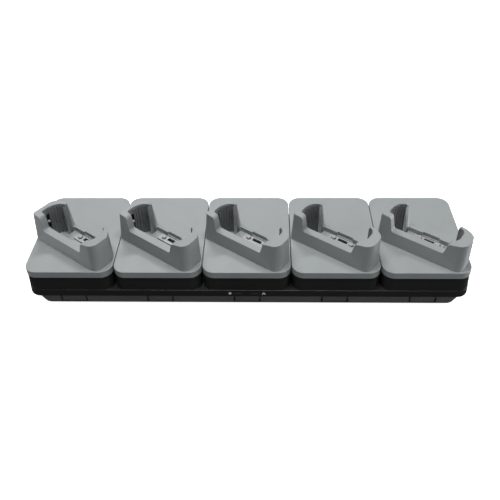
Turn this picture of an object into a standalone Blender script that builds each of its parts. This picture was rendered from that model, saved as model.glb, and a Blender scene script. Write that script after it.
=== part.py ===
"""Five-bay charging cradle for handheld payment terminals.

World frame: +X runs along the row of cups, +Y to the back, +Z up, with the
origin on the table under the middle of the base.  Each cup is modelled once in
its own pocket frame: the origin is the centre of the plate's top face, X runs
along the pocket, Y across it towards the back and Z up.  The pocket frame is
turned by POCKET_TURN about Z and set at each bay of the base.
"""
import math

import bmesh
import bpy
from mathutils import Matrix, Vector

MM = 0.001

# Row of cups
CUP_COUNT = 5
CUP_PITCH = 90.1 * MM
POCKET_TURN = math.radians(-35)

# Gap that separate pieces keep
FIT_GAP = 0.3 * MM

# Plate of each cup
PLATE_WIDTH = 89.2 * MM
PLATE_DEPTH = 120.3 * MM
PLATE_HEIGHT = 7.85 * MM
PLATE_RADIUS = 12.5 * MM
PLATE_CHAMFER = 0.6 * MM
PLATE_SKIN = 2.4 * MM
PLATE_POSTS = ((-34 * MM, -44 * MM), (34 * MM, -50 * MM), (-34 * MM, 50 * MM), (34 * MM, 50 * MM))
POST_RADIUS = 3 * MM

# Heights of the base above the table
FOOT_PROUD = 1.5 * MM
SEAM_Z = 14.4 * MM
LEDGE_Z = 22.7 * MM
PLATE_BOTTOM_Z = 39.6 * MM
PAD_TOP_Z = PLATE_BOTTOM_Z - FIT_GAP
PLATE_TOP_Z = PLATE_BOTTOM_Z + PLATE_HEIGHT

# Base cover
COVER_DRAFT = math.tan(math.radians(1.5))
COVER_WALL = 2.2 * MM
PAD_STEP = 0.4 * MM
CABLE_HOLE_RADIUS = 11 * MM
SCREW_HALF_SPREAD = (135.15 * MM, 44 * MM)
BOSS_RADIUS = 3.4 * MM
BOSS_BOTTOM_Z = 4.7 * MM

# Base tray
TRAY_INSET_FRONT = 3 * MM
TRAY_INSET_END = 9.5 * MM
TRAY_INSET_SEAM = 1.5 * MM
TRAY_RADIUS = 11 * MM
TRAY_WALL = 2.2 * MM
TRAY_FLOOR_Z = FOOT_PROUD + 2.6 * MM
FLANGE_TOP_Z = 16.2 * MM
FOOT_HALF_SPREAD = (196 * MM, 42 * MM)
FOOT_RADIUS = 6.5 * MM
FOOT_SEAT = 1 * MM

# Screws that hold the tray to the cover's bosses
SCREW_RADIUS = 1.1 * MM
SCREW_HEAD_RADIUS = 2.8 * MM
SCREW_HEAD_Z = (1.9 * MM, 2.9 * MM)
SCREW_TIP_Z = 14 * MM

# Push-in release under each cup
RELEASE_WIDTH = 24.8 * MM
RELEASE_SLIT = 1.5 * MM
RELEASE_Z = (2.9 * MM, 12.9 * MM)
RELEASE_RECESS = 0.3 * MM

# Main board and what stands on it
BOARD_Z = (5.6 * MM, 7.2 * MM)
HEADER_TOP_Z = 12.2 * MM
JACK_CENTRES_X = (4 * MM, 26 * MM)
INLET_CENTRE_X = -40 * MM
SOCKET_FACE_Y = 58.5 * MM

# Indicator bars in the front of the base
LIGHT_CENTRES_X = (-8.7 * MM, 8.3 * MM)
LIGHT_WIDTH = 8 * MM
LIGHT_Z = (18.1 * MM, 19.2 * MM)

# Pocket walls, in the pocket frame
WALL_BOX = (-32.3 * MM, 60.2 * MM, -33.2 * MM, 3.4 * MM)
WALL_CORNERS = ((2 * MM, 2 * MM), (8 * MM, 8 * MM), (19 * MM, 15 * MM), (15.5 * MM, 12 * MM))
WALL_BENDS = (1, 1, 1.4, 1)
WALL_DRAFT = math.tan(math.radians(3))
CAVITY_BOX = (-25.5 * MM, 49 * MM, -24.2 * MM, -0.9 * MM)
CAVITY_CORNERS = ((3 * MM, 3 * MM), (6.5 * MM, 7 * MM), (9 * MM, 10 * MM), (13 * MM, 17 * MM))
CAVITY_FLOOR = -2.4 * MM
DEEP_END = -10.5 * MM
DEEP_FLOOR = -5.8 * MM
DEEP_PAN_BOTTOM = -7.6 * MM
PAN_MARGIN = 2.4 * MM
PAN_BOTTOM = -4.4 * MM
FRONT_WALL_TOP = 16.3 * MM
BACK_WALL_TOP = 3 * MM
WING_HEIGHT = 36 * MM
LIP = (-14.8 * MM, -11.2 * MM, -4.7 * MM, 1.5 * MM)

# Contact carrier in the pocket floor
CARRIER_BOX = (-1 * MM, 31 * MM, -9.3 * MM, -1.2 * MM)
CARRIER_TOP = -1.2 * MM
CARRIER_FLANGE = (-5.7 * MM, -4.7 * MM)
CONTACT_SLOT = (9.8 * MM, 20.7 * MM, -6.1 * MM, -2.1 * MM)
PEG_CENTRES = ((4.8 * MM, -4.6 * MM), (25.4 * MM, -4.6 * MM))
PEG_RADIUS = 2.5 * MM
PIN_COUNT = 5
PIN_RADIUS = 0.5 * MM
PIN_TIP = -0.3 * MM
PIN_BAR = (-4 * MM, -3 * MM)

# Liner and retention latch of the left tower
LINER_THICKNESS = 1.2 * MM
LINER_FRONT_END = -21.6 * MM
LINER_DROP = 2.8 * MM
RIB_WIDTH = 0.9 * MM
RIB_HEIGHT = 0.7 * MM
RIB_PITCH = 3.2 * MM
LATCH_Y = -17.6 * MM
LATCH_SLOT = (3.4 * MM, 7 * MM, 25 * MM)
LATCH_LEAF = (4.8 * MM, 5.5 * MM, 26.5 * MM)
LATCH_LEAF_THICKNESS = 0.9 * MM
LATCH_TRAVEL = 1.2 * MM
LATCH_KNOB_Z = 15.5 * MM
LATCH_KNOB_RADIUS = 1.5 * MM
LATCH_REACH = 1.6 * MM

# Board under each cup
CUP_BOARD_BOX = (-7 * MM, 42 * MM, -16 * MM, 6 * MM)
CUP_BOARD_Z = (-7.4 * MM, -6 * MM)
PLUG_HALF = (6 * MM, 4 * MM)
PLUG_BOTTOM = -12 * MM


# ---------------------------------------------------------------- helpers

def clear_scene():
    for obj in list(bpy.data.objects):
        bpy.data.objects.remove(obj)


def plastic(name, colour, roughness, metallic=0.0):
    made = bpy.data.materials.new(name)
    made.use_nodes = True
    shader = made.node_tree.nodes["Principled BSDF"]
    shader.inputs["Base Color"].default_value = (*colour, 1)
    shader.inputs["Roughness"].default_value = roughness
    shader.inputs["Metallic"].default_value = metallic
    return made


def new_object(name, mesh):
    obj = bpy.data.objects.new(name, mesh)
    bpy.context.scene.collection.objects.link(obj)
    return obj


def bent(ratio, power):
    """A sine or cosine raised to a power with its sign kept."""
    return math.copysign(abs(ratio) ** power, ratio)


def rounded_outline(box, corners, steps=4, bends=(1, 1, 1, 1)):
    """Outline of a box with elliptic corners, anticlockwise from the front left.

    A bend above 1 flattens its corner towards a straight chamfer.
    """
    x0, x1, y0, y1 = box
    signs = ((1, 1, x0, y0), (-1, 1, x1, y0), (-1, -1, x1, y1), (1, -1, x0, y1))
    points = []
    for quarter, ((rx, ry), bend, (sx, sy, x, y)) in enumerate(zip(corners, bends, signs)):
        for step in range(steps + 1):
            angle = math.pi + (quarter + step / steps) * math.pi / 2
            along = bent(math.cos(angle), bend)
            across = bent(math.sin(angle), bend)
            points.append((x + rx * (sx + along), y + ry * (sy + across)))
    return points


def inset(box, corners, amount):
    """Box and corner radii moved inwards by an amount."""
    x0, x1, y0, y1 = box
    smaller = (x0 + amount, x1 - amount, y0 + amount, y1 - amount)
    return smaller, tuple((rx - amount, ry - amount) for rx, ry in corners)


def circle(centre, radius, sides):
    cx, cy = centre
    angles = [2 * math.pi * i / sides for i in range(sides)]
    return [(cx + radius * math.cos(a), cy + radius * math.sin(a)) for a in angles]


def loft(name, rings):
    """Closed solid through rings of 3-D points that all have the same count."""
    shape = bmesh.new()
    loops = [[shape.verts.new(point) for point in ring] for ring in rings]
    for lower, upper in zip(loops, loops[1:]):
        for i in range(len(lower)):
            j = (i + 1) % len(lower)
            shape.faces.new((lower[i], lower[j], upper[j], upper[i]))
    shape.faces.new(list(reversed(loops[0])))
    shape.faces.new(loops[-1])
    bmesh.ops.recalc_face_normals(shape, faces=shape.faces)
    mesh = bpy.data.meshes.new(name)
    shape.to_mesh(mesh)
    shape.free()
    return new_object(name, mesh)


def prism(name, outline, z0, z1):
    return loft(name, [[(x, y, z) for x, y in outline] for z in (z0, z1)])


def block(name, box, z0, z1):
    x0, x1, y0, y1 = box
    return prism(name, [(x0, y0), (x1, y0), (x1, y1), (x0, y1)], z0, z1)


def turned(name, centre, profile, sides=12):
    """Solid turned about a vertical axis; the profile is (radius, z) from below."""
    return loft(name, [[(x, y, z) for x, y in circle(centre, radius, sides)] for radius, z in profile])


def slab_along_y(name, profile, y0, y1):
    """A profile in X and Z, extruded along Y."""
    return loft(name, [[(x, y, z) for x, z in profile] for y in (y0, y1)])


def slab_along_x(name, profile, x0, x1):
    """A profile in Y and Z, extruded along X."""
    return loft(name, [[(x, y, z) for y, z in profile] for x in (x0, x1)])


def combine(target, operation, tools):
    """Join the tools to the target, or cut them from it, and remove them."""
    for tool in tools:
        modifier = target.modifiers.new(operation.title(), "BOOLEAN")
        modifier.operation = operation
        modifier.object = tool
        modifier.solver = "EXACT"
    bpy.context.view_layer.update()
    graph = bpy.context.evaluated_depsgraph_get()
    mesh = bpy.data.meshes.new_from_object(target.evaluated_get(graph))
    target.modifiers.clear()
    target.data = mesh
    for tool in tools:
        bpy.data.objects.remove(tool)
    return target


def join(target, *tools):
    return combine(target, "UNION", tools)


def cut(target, *tools):
    return combine(target, "DIFFERENCE", tools)


def finish(obj, material, smooth_degrees=30):
    """Give a piece its material and shade its round faces smooth."""
    obj.data.materials.clear()
    obj.data.materials.append(material)
    obj.data.shade_smooth()
    obj.data.set_sharp_from_angle(angle=math.radians(smooth_degrees))
    return obj


# ---------------------------------------------------------------- places

def cup_x(index):
    return (index - (CUP_COUNT - 1) / 2) * CUP_PITCH


def four_places(half_spread):
    """The four corners of a rectangle about the middle of the base."""
    half_x, half_y = half_spread
    return [(sx * half_x, sy * half_y) for sy in (-1, 1) for sx in (-1, 1)]


def pocket_frames():
    """One empty for each cup, holding the pocket frame."""
    frames = []
    for index in range(CUP_COUNT):
        frame = new_object(f"pocket_frame_{index + 1}", None)
        frame.location = (cup_x(index), 0, PLATE_TOP_Z)
        frame.rotation_euler = (0, 0, POCKET_TURN)
        frames.append(frame)
    return frames


def spread(template, frames, name, location=(0, 0, 0)):
    """One object for each cup that shares the template's mesh."""
    for index, frame in enumerate(frames):
        copy = new_object(f"{name}_{index + 1}", template.data)
        copy.parent = frame
        copy.location = location
    bpy.data.objects.remove(template)


def into_pocket(points):
    """Points of the unturned plate, in the pocket frame."""
    turn = Matrix.Rotation(-POCKET_TURN, 2)
    return [tuple(turn @ Vector(point)) for point in points]


# ---------------------------------------------------------------- cup shell

def plate_outline(amount=0.0):
    half = (-PLATE_WIDTH / 2, PLATE_WIDTH / 2, -PLATE_DEPTH / 2, PLATE_DEPTH / 2)
    box, corners = inset(half, ((PLATE_RADIUS, PLATE_RADIUS),) * 4, amount)
    return into_pocket(rounded_outline(box, corners))


def plate():
    levels = ((-PLATE_HEIGHT, 0), (-PLATE_CHAMFER, 0), (0, PLATE_CHAMFER))
    body = loft("cup_shell", [[(x, y, z) for x, y in plate_outline(d)] for z, d in levels])
    hollow = prism("hollow", plate_outline(PLATE_SKIN), -PLATE_HEIGHT - MM, -PLATE_SKIN)
    return cut(body, hollow)


def roof_height(x):
    """Top of the towers: it falls away from both ends of the pocket."""
    if x < 10 * MM:
        return 34 * MM - 0.09 * (x + 31.3 * MM)
    return 29 * MM + 0.238 * (x - 42 * MM)


def outer_walls():
    """Walls round the pocket, drafted on all sides but the upright right end."""
    x0, x1, y0, y1 = WALL_BOX
    rings = []
    for z in (-1.2 * MM, WING_HEIGHT + 2 * MM):
        lean = z * WALL_DRAFT
        box = (x0 + lean, x1, y0 + lean, y1 - lean)
        rings.append([(x, y, z) for x, y in rounded_outline(box, WALL_CORNERS, 6, WALL_BENDS)])
    return loft("outer_walls", rings)


def deep_outline(margin=0.0):
    """Left end of the cavity, where the floor is deeper."""
    x0, _, y0, y1 = CAVITY_BOX
    sharp = (0.5 * MM, 0.5 * MM)
    corners = (CAVITY_CORNERS[0], sharp, sharp, CAVITY_CORNERS[3])
    return rounded_outline(*inset((x0, DEEP_END, y0, y1), corners, -margin))


def floor_pans():
    outline = rounded_outline(*inset(CAVITY_BOX, CAVITY_CORNERS, -PAN_MARGIN))
    return (
        prism("floor_pan", outline, PAN_BOTTOM, -1.5 * MM),
        prism("deep_pan", deep_outline(1.8 * MM), DEEP_PAN_BOTTOM, -1.2 * MM),
    )


def cavities():
    outline = rounded_outline(CAVITY_BOX, CAVITY_CORNERS)
    return (
        prism("cavity", outline, CAVITY_FLOOR, WING_HEIGHT + 5 * MM),
        prism("deep_cavity", deep_outline(), DEEP_FLOOR, CAVITY_FLOOR + 2 * MM),
    )


def roof_cutter():
    ends = (-45 * MM, -13 * MM, 41 * MM, 70 * MM)
    top = 60 * MM
    profile = [(x, roof_height(x)) for x in ends] + [(ends[-1], top), (ends[0], top)]
    return slab_along_y("roof", profile, -60 * MM, 20 * MM)


def arc(centre, radius, start, end, steps=4):
    """Points on a circular arc between two angles in degrees."""
    cx, cz = centre
    angles = [math.radians(start + (end - start) * i / steps) for i in range(steps + 1)]
    return [(cx + radius * math.cos(a), cz + radius * math.sin(a)) for a in angles]


def front_notch():
    """Opens the front wall between the two wings, with a fillet at each end."""
    low = FRONT_WALL_TOP
    left_fillet = arc((-14 * MM, low + 3 * MM), 3 * MM, 180, 270)
    right_fillet = arc((37 * MM, low + 2.5 * MM), 2.5 * MM, 270, 350)
    left_top = arc((-22 * MM, 29.4 * MM), 3.6 * MM, 90, 20)
    profile = [(-22 * MM, 50 * MM), *left_top, *left_fillet, *right_fillet]
    profile += [(41.6 * MM, 27.4 * MM), (43.4 * MM, 29.4 * MM), (46 * MM, 50 * MM)]
    return slab_along_y("front_notch", profile, -45 * MM, -15 * MM)


def back_notch():
    """Opens the back wall between the wings down to a low rim."""
    low = BACK_WALL_TOP
    left_top = arc((-16.6 * MM, 30.4 * MM), 2.2 * MM, 90, 10)
    profile = [(-16.6 * MM, 50 * MM), *left_top, (-10.9 * MM, low), (40.6 * MM, low)]
    profile += [(41.1 * MM, 27 * MM), (43 * MM, 29.6 * MM), (46 * MM, 50 * MM)]
    return slab_along_y("back_notch", profile, -6 * MM, 15 * MM)


def cup_shell():
    body = plate()
    posts = [
        turned("post", place, ((POST_RADIUS, -PLATE_HEIGHT), (POST_RADIUS, -1.5 * MM)), 8)
        for place in into_pocket(PLATE_POSTS)
    ]
    join(body, outer_walls(), *floor_pans(), *posts)
    cut(body, *cavities())
    join(body, block("lip", LIP, DEEP_FLOOR - 0.5 * MM, WING_HEIGHT))
    back_recess = block("back_recess", (-10.7 * MM, 40.4 * MM, -2 * MM, 0.5 * MM), CAVITY_FLOOR, 9 * MM)
    rim_slot = block("rim_slot", (6 * MM, 24 * MM, 0, 2 * MM), -1.5 * MM, 9 * MM)
    x0, x1, y0, y1 = CARRIER_BOX
    window_box = (x0 - FIT_GAP, x1 + FIT_GAP, y0 - FIT_GAP, y1 + FIT_GAP)
    window = block("window", window_box, PAN_BOTTOM - MM, CAVITY_FLOOR + MM)
    cut(body, roof_cutter(), front_notch(), back_notch(), back_recess, rim_slot, window)
    seat_depth = LINER_THICKNESS + FIT_GAP
    cut(body, wall_strip("liner_seat", -0.5 * MM, seat_depth, FIT_GAP), latch_seat())
    return finish(body, plastic("cup_grey", (0.36, 0.37, 0.38), 0.5))


# ---------------------------------------------------------------- liner

def cavity_path():
    """Dense points round the left end of the cavity, from the front wing to the back lip."""
    outline = rounded_outline(CAVITY_BOX, CAVITY_CORNERS, steps=24)
    front_left = outline[:25]
    back_left = [point for point in outline[75:] if point[0] < LIP[0] - 0.4 * MM]
    front_end = (LINER_FRONT_END, CAVITY_BOX[2])
    return [Vector(point) for point in [front_end, *reversed(front_left), *reversed(back_left)]]


def path_lengths(path):
    lengths = [0.0]
    for a, b in zip(path, path[1:]):
        lengths.append(lengths[-1] + (b - a).length)
    return lengths


def point_and_normal(path, lengths, distance):
    """Point at a distance along the path, and the outward normal there."""
    for a, b, start, end in zip(path, path[1:], lengths, lengths[1:]):
        if distance <= end and end > start:
            along = (b - a).normalized()
            point = a + along * (distance - start)
            return point, Vector((-along.y, along.x))
    raise ValueError("distance lies beyond the path")


def wall_strip(name, inner, outer, end_gap=0.0, ribs=()):
    """Upright strip on the cavity's left end, between two offsets from its face."""
    path = cavity_path()
    lengths = path_lengths(path)
    total = lengths[-1]
    stations = [(total * i / 14, 0.0) for i in range(15)]
    for middle in ribs:
        edge = RIB_WIDTH / 2
        stations += [(middle - edge, 0.0), (middle - edge + 0.1 * MM, RIB_HEIGHT)]
        stations += [(middle + edge - 0.1 * MM, RIB_HEIGHT), (middle + edge, 0.0)]
    clear = RIB_WIDTH / 2 - 0.01 * MM
    stations = sorted(s for s in stations if s[1] or all(abs(s[0] - middle) >= clear for middle in ribs))
    shape = bmesh.new()
    bottom = DEEP_FLOOR if end_gap else DEEP_FLOOR + FIT_GAP
    sections = []
    for number, (distance, rise) in enumerate(stations):
        point, normal = point_and_normal(path, lengths, distance)
        if number in (0, len(stations) - 1):
            outwards = Vector((normal.y, -normal.x)) * (-1 if number == 0 else 1)
            point = point + outwards * end_gap
        z1 = roof_height(point.x) - LINER_DROP + (FIT_GAP if end_gap else 0)
        near = point + normal * (inner - rise)
        far = point + normal * outer
        corners = ((near, bottom), (near, z1), (far, z1), (far, bottom))
        sections.append([shape.verts.new((p.x, p.y, z)) for p, z in corners])
    for a, b in zip(sections, sections[1:]):
        for i in range(4):
            j = (i + 1) % 4
            shape.faces.new((a[i], a[j], b[j], b[i]))
    shape.faces.new(list(reversed(sections[0])))
    shape.faces.new(sections[-1])
    bmesh.ops.recalc_face_normals(shape, faces=shape.faces)
    mesh = bpy.data.meshes.new(name)
    shape.to_mesh(mesh)
    shape.free()
    return new_object(name, mesh)


def rib_places():
    """Distances along the path for the ribs, clear of the latch and of the ends."""
    lengths = path_lengths(cavity_path())
    first = 12.5 * MM
    last = lengths[-1] - 1.2 * MM
    count = int((last - first) / RIB_PITCH)
    return [first + RIB_PITCH * i for i in range(count + 1)]


def tower_liner():
    body = wall_strip("tower_liner", 0.0, LINER_THICKNESS, ribs=rib_places())
    width, z0, z1 = LATCH_SLOT
    slot_box = (-30 * MM, -22 * MM, LATCH_Y - width / 2, LATCH_Y + width / 2)
    cut(body, block("slot", slot_box, z0, z1))
    return finish(body, plastic("liner_grey", (0.08, 0.085, 0.09), 0.45))


# ---------------------------------------------------------------- latch

def latch_plane():
    """X of the liner's hidden face, where the latch's leaf rests."""
    return CAVITY_BOX[0] - LINER_THICKNESS - FIT_GAP


def latch_seat():
    width, z0, z1 = LATCH_LEAF
    depth = LATCH_LEAF_THICKNESS + LATCH_TRAVEL + 0.2 * MM
    half = width / 2 + FIT_GAP
    box = (latch_plane() - depth, latch_plane() + MM, LATCH_Y - half, LATCH_Y + half)
    return block("latch_seat", box, z0 - FIT_GAP, z1 + FIT_GAP)


def retention_latch():
    """Leaf behind the liner with a knob that stands into the pocket, about its own origin."""
    width, z0, z1 = LATCH_LEAF
    leaf_box = (-LATCH_LEAF_THICKNESS, 0, -width / 2, width / 2)
    body = block("retention_latch", leaf_box, z0 - LATCH_KNOB_Z, z1 - LATCH_KNOB_Z)
    nose = CAVITY_BOX[0] + LATCH_REACH - latch_plane()
    radius = LATCH_KNOB_RADIUS
    stations = ((-0.4 * MM, radius), (nose - radius, radius), (nose - 0.6 * radius, 0.9 * radius))
    stations += ((nose - 0.2 * radius, 0.6 * radius), (nose, 0.25 * radius))
    rings = [[(x, y, z) for y, z in circle((0, 0), r, 12)] for x, r in stations]
    join(body, loft("knob", rings))
    return finish(body, plastic("latch_grey", (0.5, 0.51, 0.52), 0.3))


# ---------------------------------------------------------------- contacts

def contact_carrier():
    body = block("contact_carrier", CARRIER_BOX, CARRIER_FLANGE[1] - 0.5 * MM, CARRIER_TOP)
    x0, x1, y0, y1 = CARRIER_BOX
    flange_box = (x0 - 3 * MM, x1 + 3 * MM, y0 - 3 * MM, y1 + 3 * MM)
    flange = block("flange", flange_box, *CARRIER_FLANGE)
    r = PEG_RADIUS
    profile = ((r, CARRIER_TOP - 0.3 * MM), (r, 0.2 * MM), (0.85 * r, 0.8 * MM), (0.5 * r, 1.2 * MM))
    pegs = [turned("peg", place, profile) for place in PEG_CENTRES]
    join(body, flange, *pegs)
    cut(body, block("slot", CONTACT_SLOT, -8 * MM, 3 * MM))
    return finish(body, plastic("carrier_grey", (0.42, 0.43, 0.44), 0.4))


def contact_pins():
    """Sprung contacts on their common bar, about the middle of the slot."""
    x0, x1, y0, y1 = CONTACT_SLOT
    half_x = (x1 - x0) / 2 - FIT_GAP
    half_y = (y1 - y0) / 2 - FIT_GAP
    body = block("contact_pins", (-half_x, half_x, -half_y, half_y), *PIN_BAR)
    spacing = 2 * half_x / PIN_COUNT
    r = PIN_RADIUS
    profile = ((r, PIN_BAR[0] + 0.3 * MM), (r, PIN_TIP - 0.3 * MM), (0.5 * r, PIN_TIP))
    places = [((i - (PIN_COUNT - 1) / 2) * spacing, 0) for i in range(PIN_COUNT)]
    join(body, *[turned("pin", place, profile, 6) for place in places])
    return finish(body, plastic("contact_gold", (0.75, 0.55, 0.22), 0.3, 1.0))


def slot_centre():
    x0, x1, y0, y1 = CONTACT_SLOT
    return ((x0 + x1) / 2, (y0 + y1) / 2, 0)


def cup_board():
    body = block("cup_board", CUP_BOARD_BOX, *CUP_BOARD_Z)
    plug_box = (-PLUG_HALF[0], PLUG_HALF[0], -PLUG_HALF[1], PLUG_HALF[1])
    chip_box = (18 * MM, 26 * MM, -12 * MM, -5 * MM)
    plug = block("plug", plug_box, PLUG_BOTTOM, CUP_BOARD_Z[0] + 0.5 * MM)
    chip = block("chip", chip_box, CUP_BOARD_Z[0] - 0.5 * MM, CUP_BOARD_Z[0] + 0.5 * MM)
    join(body, plug, chip)
    return finish(body, plastic("board_green", (0.02, 0.12, 0.05), 0.5))


# ---------------------------------------------------------------- base cover

def cover_ring(x0, x1, z, amount=0.0, left=True, right=True):
    """Ring of the cover at a height, drafted on its outer sides, moved in by an amount."""
    flare = (PAD_TOP_Z - z) * COVER_DRAFT
    half = PLATE_DEPTH / 2
    box = (x0 - flare * left, x1 + flare * right, -half - flare, half + flare)
    outline = rounded_outline(*inset(box, ((PLATE_RADIUS, PLATE_RADIUS),) * 4, amount))
    return [(x, y, z) for x, y in outline]


def pad(index, amount, z0, z1):
    """One raised pad, or the hollow inside it."""
    middle = cup_x(index)
    ends = (middle - PLATE_WIDTH / 2, middle + PLATE_WIDTH / 2)
    sides = {"left": index == 0, "right": index == CUP_COUNT - 1}
    return loft("pad", [cover_ring(*ends, z, amount, **sides) for z in (z0, z1)])


def band(amount, z0, z1):
    """The strip of the base under all the pads, or the hollow inside it."""
    end = cup_x(CUP_COUNT - 1) + PLATE_WIDTH / 2
    return loft("band", [cover_ring(-end, end, z, amount) for z in (z0, z1)])


def rear_socket_places():
    """Centre, width and top of each socket in the back of the base."""
    jacks = [(x, 16.2 * MM, 20.1 * MM) for x in JACK_CENTRES_X]
    return [(INLET_CENTRE_X, 14 * MM, 19 * MM), *jacks]


def rear_openings(y0, z0):
    gap = 0.5 * MM
    cutters = []
    for x, width, top in rear_socket_places():
        box = (x - width / 2 - gap, x + width / 2 + gap, y0, 70 * MM)
        cutters.append(block("opening", box, z0, top + gap))
    return cutters


def base_top_cover():
    body = band(0.0, SEAM_Z, LEDGE_Z)
    join(body, *[pad(i, PAD_STEP, LEDGE_Z - MM, PAD_TOP_Z) for i in range(CUP_COUNT)])
    inner = PAD_STEP + COVER_WALL
    hollows = [pad(i, inner, LEDGE_Z - COVER_WALL - MM, PAD_TOP_Z - COVER_WALL) for i in range(CUP_COUNT)]
    cut(body, band(COVER_WALL, SEAM_Z - 2 * MM, LEDGE_Z - COVER_WALL), *hollows)
    holes = [
        turned("cable_hole", (cup_x(i), 0), ((CABLE_HOLE_RADIUS, 30 * MM), (CABLE_HOLE_RADIUS, 45 * MM)), 16)
        for i in range(CUP_COUNT)
    ]
    bosses = [
        turned("boss", place, ((BOSS_RADIUS, BOSS_BOTTOM_Z), (BOSS_RADIUS, LEDGE_Z - MM)))
        for place in four_places(SCREW_HALF_SPREAD)
    ]
    join(body, *bosses)
    pilot = SCREW_RADIUS + FIT_GAP
    pilots = [
        turned("pilot", place, ((pilot, BOSS_BOTTOM_Z - MM), (pilot, SCREW_TIP_Z + FIT_GAP)), 8)
        for place in four_places(SCREW_HALF_SPREAD)
    ]
    slots = [
        block("slot", (x - LIGHT_WIDTH / 2 - FIT_GAP, x + LIGHT_WIDTH / 2 + FIT_GAP, -70 * MM, -50 * MM),
              LIGHT_Z[0] - FIT_GAP, LIGHT_Z[1] + FIT_GAP)
        for x in LIGHT_CENTRES_X
    ]
    cut(body, *holes, *pilots, *slots, *rear_openings(50 * MM, SEAM_Z - MM))
    return finish(body, plastic("cover_black", (0.008, 0.008, 0.009), 0.35))


# ---------------------------------------------------------------- base tray

def tray_box(z=FOOT_PROUD):
    """Sides of the tray at a height: the ends lean out towards the seam."""
    rise = (z - FOOT_PROUD) / (SEAM_Z - FOOT_PROUD)
    end_inset = TRAY_INSET_END + (TRAY_INSET_SEAM - TRAY_INSET_END) * rise
    half_x = cup_x(CUP_COUNT - 1) + PLATE_WIDTH / 2 - end_inset
    half_y = PLATE_DEPTH / 2 - TRAY_INSET_FRONT
    return (-half_x, half_x, -half_y, half_y)


def tray_outline(z, amount=0.0):
    return rounded_outline(*inset(tray_box(z), ((TRAY_RADIUS, TRAY_RADIUS),) * 4, amount))


def release_openings():
    front = tray_box()[2]
    half = RELEASE_WIDTH / 2 + RELEASE_SLIT
    openings = []
    for index in range(CUP_COUNT):
        box = (cup_x(index) - half, cup_x(index) + half, front - MM, front + TRAY_WALL + 2.6 * MM)
        openings.append(block("release_opening", box, RELEASE_Z[0] - FIT_GAP, RELEASE_Z[1] + FIT_GAP))
    return openings


def base_bottom_tray():
    levels = (FOOT_PROUD, SEAM_Z - FIT_GAP)
    body = loft("base_bottom_tray", [[(x, y, z) for x, y in tray_outline(z)] for z in levels])
    flange_edge = COVER_WALL + 2 * FIT_GAP
    end = cup_x(CUP_COUNT - 1) + PLATE_WIDTH / 2
    flange = loft("flange", [cover_ring(-end, end, z, flange_edge) for z in (SEAM_Z - MM, FLANGE_TOP_Z)])
    join(body, flange)
    cut(body, prism("hollow", tray_outline(TRAY_FLOOR_Z, TRAY_WALL), TRAY_FLOOR_Z, FLANGE_TOP_Z + MM))
    standoff_top = BOARD_Z[0] - FIT_GAP
    standoffs = [
        turned("standoff", place, ((3 * MM, TRAY_FLOOR_Z - MM), (3 * MM, standoff_top)), 8)
        for place in four_places((185 * MM, 26 * MM))
    ]
    join(body, *standoffs)
    through = SCREW_RADIUS + 2 * FIT_GAP
    head = SCREW_HEAD_RADIUS + 2 * FIT_GAP
    foot = FOOT_RADIUS + FIT_GAP
    cutters = release_openings() + rear_openings(50 * MM, BOARD_Z[1])
    for place in four_places(SCREW_HALF_SPREAD):
        cutters.append(turned("through", place, ((through, 0), (through, 8 * MM)), 10))
        cutters.append(turned("counterbore", place, ((head, 0), (head, SCREW_HEAD_Z[1] + FIT_GAP))))
    for place in four_places(FOOT_HALF_SPREAD):
        seat = FOOT_PROUD + FOOT_SEAT
        cutters.append(turned("foot_seat", place, ((foot, 0), (foot, seat)), 16))
    cut(body, *cutters)
    return finish(body, plastic("tray_grey", (0.035, 0.035, 0.037), 0.55))


def base_screw(index, place, material):
    r = SCREW_RADIUS
    head = SCREW_HEAD_RADIUS
    profile = ((0.8 * head, SCREW_HEAD_Z[0]), (head, SCREW_HEAD_Z[0] + 0.3 * MM), (head, SCREW_HEAD_Z[1]))
    profile += ((r, SCREW_HEAD_Z[1]), (r, SCREW_TIP_Z - MM), (0.4 * r, SCREW_TIP_Z))
    body = turned(f"base_screw_{index}", place, profile, 10)
    x, y = place
    slot_box = (x - 1.6 * MM, x + 1.6 * MM, y - 0.3 * MM, y + 0.3 * MM)
    cut(body, block("driver_slot", slot_box, 0, SCREW_HEAD_Z[0] + 0.6 * MM))
    return finish(body, material)


def rubber_foot(index, place, material):
    r = FOOT_RADIUS
    top = FOOT_PROUD + FOOT_SEAT - FIT_GAP
    profile = ((r - 0.5 * MM, 0), (r, 0.5 * MM), (r, top))
    return finish(turned(f"rubber_foot_{index}", place, profile, 16), material)


def cup_release(index, material):
    """Push-in panel in the front of the tray, held behind the wall by its flange."""
    x = cup_x(index)
    front = tray_box()[2] + RELEASE_RECESS
    wall_back = tray_box()[2] + TRAY_WALL
    half = RELEASE_WIDTH / 2
    body = block(f"cup_release_{index + 1}", (x - half, x + half, front, wall_back + MM), *RELEASE_Z)
    flange_box = (x - half - 2.8 * MM, x + half + 2.8 * MM, wall_back + FIT_GAP, wall_back + 1.6 * MM)
    join(body, block("flange", flange_box, TRAY_FLOOR_Z + 0.4 * MM, RELEASE_Z[1] + 0.9 * MM))
    return finish(body, material)


# ---------------------------------------------------------------- electronics

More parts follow.
